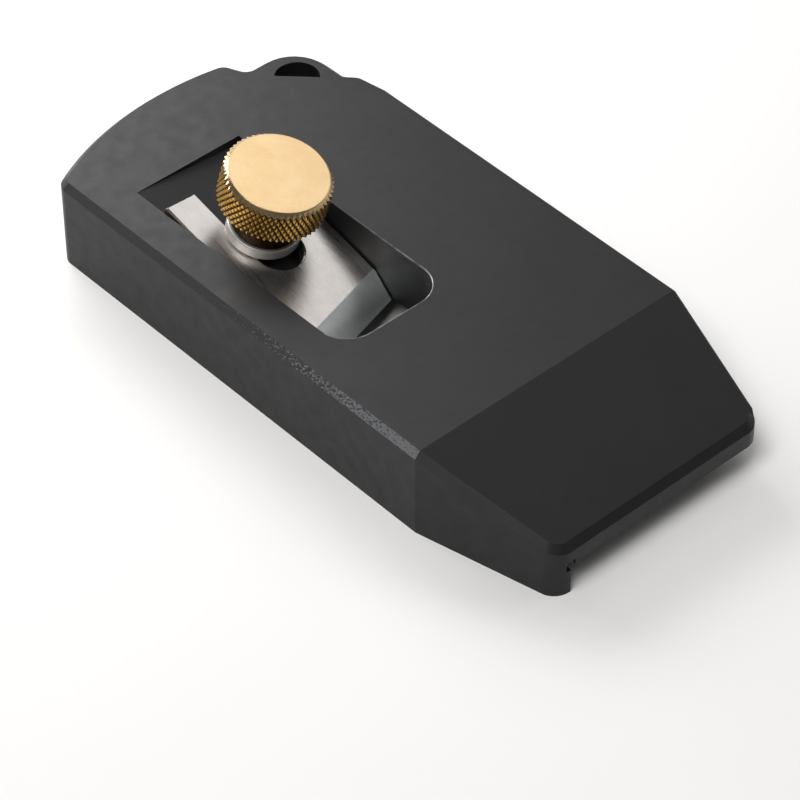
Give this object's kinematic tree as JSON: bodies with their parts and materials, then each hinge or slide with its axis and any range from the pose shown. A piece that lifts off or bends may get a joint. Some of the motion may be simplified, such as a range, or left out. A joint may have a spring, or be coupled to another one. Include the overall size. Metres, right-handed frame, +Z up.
{
  "type": "edge trimming plane",
  "caption": "Palm-sized edge trimming plane: black block with a sole and a side fence, a skewed iron on a sloping bed, and a knurled screw that clamps it.",
  "frame": {"origin": "centre of the footprint, on the lowest face, which is the foot of the fence", "axes": "+X from the tail to the front, the way the plane is pushed; +Y from the fence side to the far side; +Z up, square to the top face and the sole"},
  "size_m": [0.1072, 0.05, 0.0271],
  "materials": {
    "anodised_body": "matt black anodised",
    "iron_steel": "ground and brushed",
    "washer_metal": "satin, turned",
    "stud_steel": "rolled thread, bright",
    "knob_brass": "turned, diamond knurled"
  },
  "bodies": {
    "plane": {"plane_body": "anodised_body"},
    "iron": {"blade": "iron_steel"},
    "clamp_washer": {"spacer_washer": "washer_metal"},
    "clamp_screw": {"clamp_stud": "stud_steel", "thumb_knob": "knob_brass"}
  },
  "joints": [
    {"name": "blade_slide", "type": "slide", "parent": "plane", "child": "iron", "axis": [0.9684, 0, -0.2494], "range_m": [-0.004, 0.0015]},
    {"name": "clamp_lift", "type": "slide", "parent": "plane", "child": "clamp_washer", "axis": [0.2488, 0.0713, 0.9659], "range_m": [0, 0.0035]},
    {"name": "clamp_turn", "type": "hinge", "parent": "clamp_washer", "child": "clamp_screw", "pos_m": [-0.0209, -0.00857, 0.01013], "axis": [0.2488, 0.0713, 0.9659], "range_deg": [0, 1260]}
  ],
  "couplings": [
    {"joint": "clamp_lift", "follows": "clamp_turn", "m_per_rad": 0.00015915}
  ]
}
